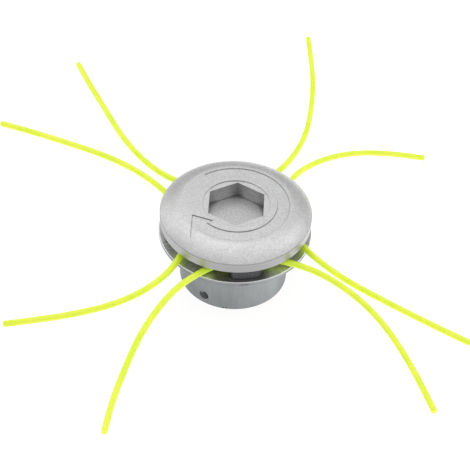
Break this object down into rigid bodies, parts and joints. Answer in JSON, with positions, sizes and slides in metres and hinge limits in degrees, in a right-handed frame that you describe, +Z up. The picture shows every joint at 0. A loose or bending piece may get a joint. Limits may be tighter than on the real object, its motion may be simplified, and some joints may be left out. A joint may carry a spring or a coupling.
{
  "type": "fixed line trimmer head",
  "caption": "Round aluminium trimmer head: a domed cap with a hex pocket, an open groove over a flange and hollow hub, and short cutting lines hooked round posts in the groove.",
  "frame": {"origin": "centre of the hub's lower rim, on the plane that the head stands on", "axes": "+Z runs up the shaft axis to the cap; the line posts lie on +X, +Y, -X and -Y, and -Y is the front"},
  "size_m": [0.2376, 0.2974, 0.0502],
  "materials": {
    "cast_aluminium": "satin",
    "cap_aluminium": "satin",
    "plated_steel": "satin",
    "line_nylon": "gloss"
  },
  "bodies": {
    "root": {"hub_body": "cast_aluminium", "cap_disc": "cap_aluminium", "shaft_thread_insert": "plated_steel", "front_line": "line_nylon", "right_line": "line_nylon", "back_line": "line_nylon", "left_line": "line_nylon"}
  },
  "joints": []
}
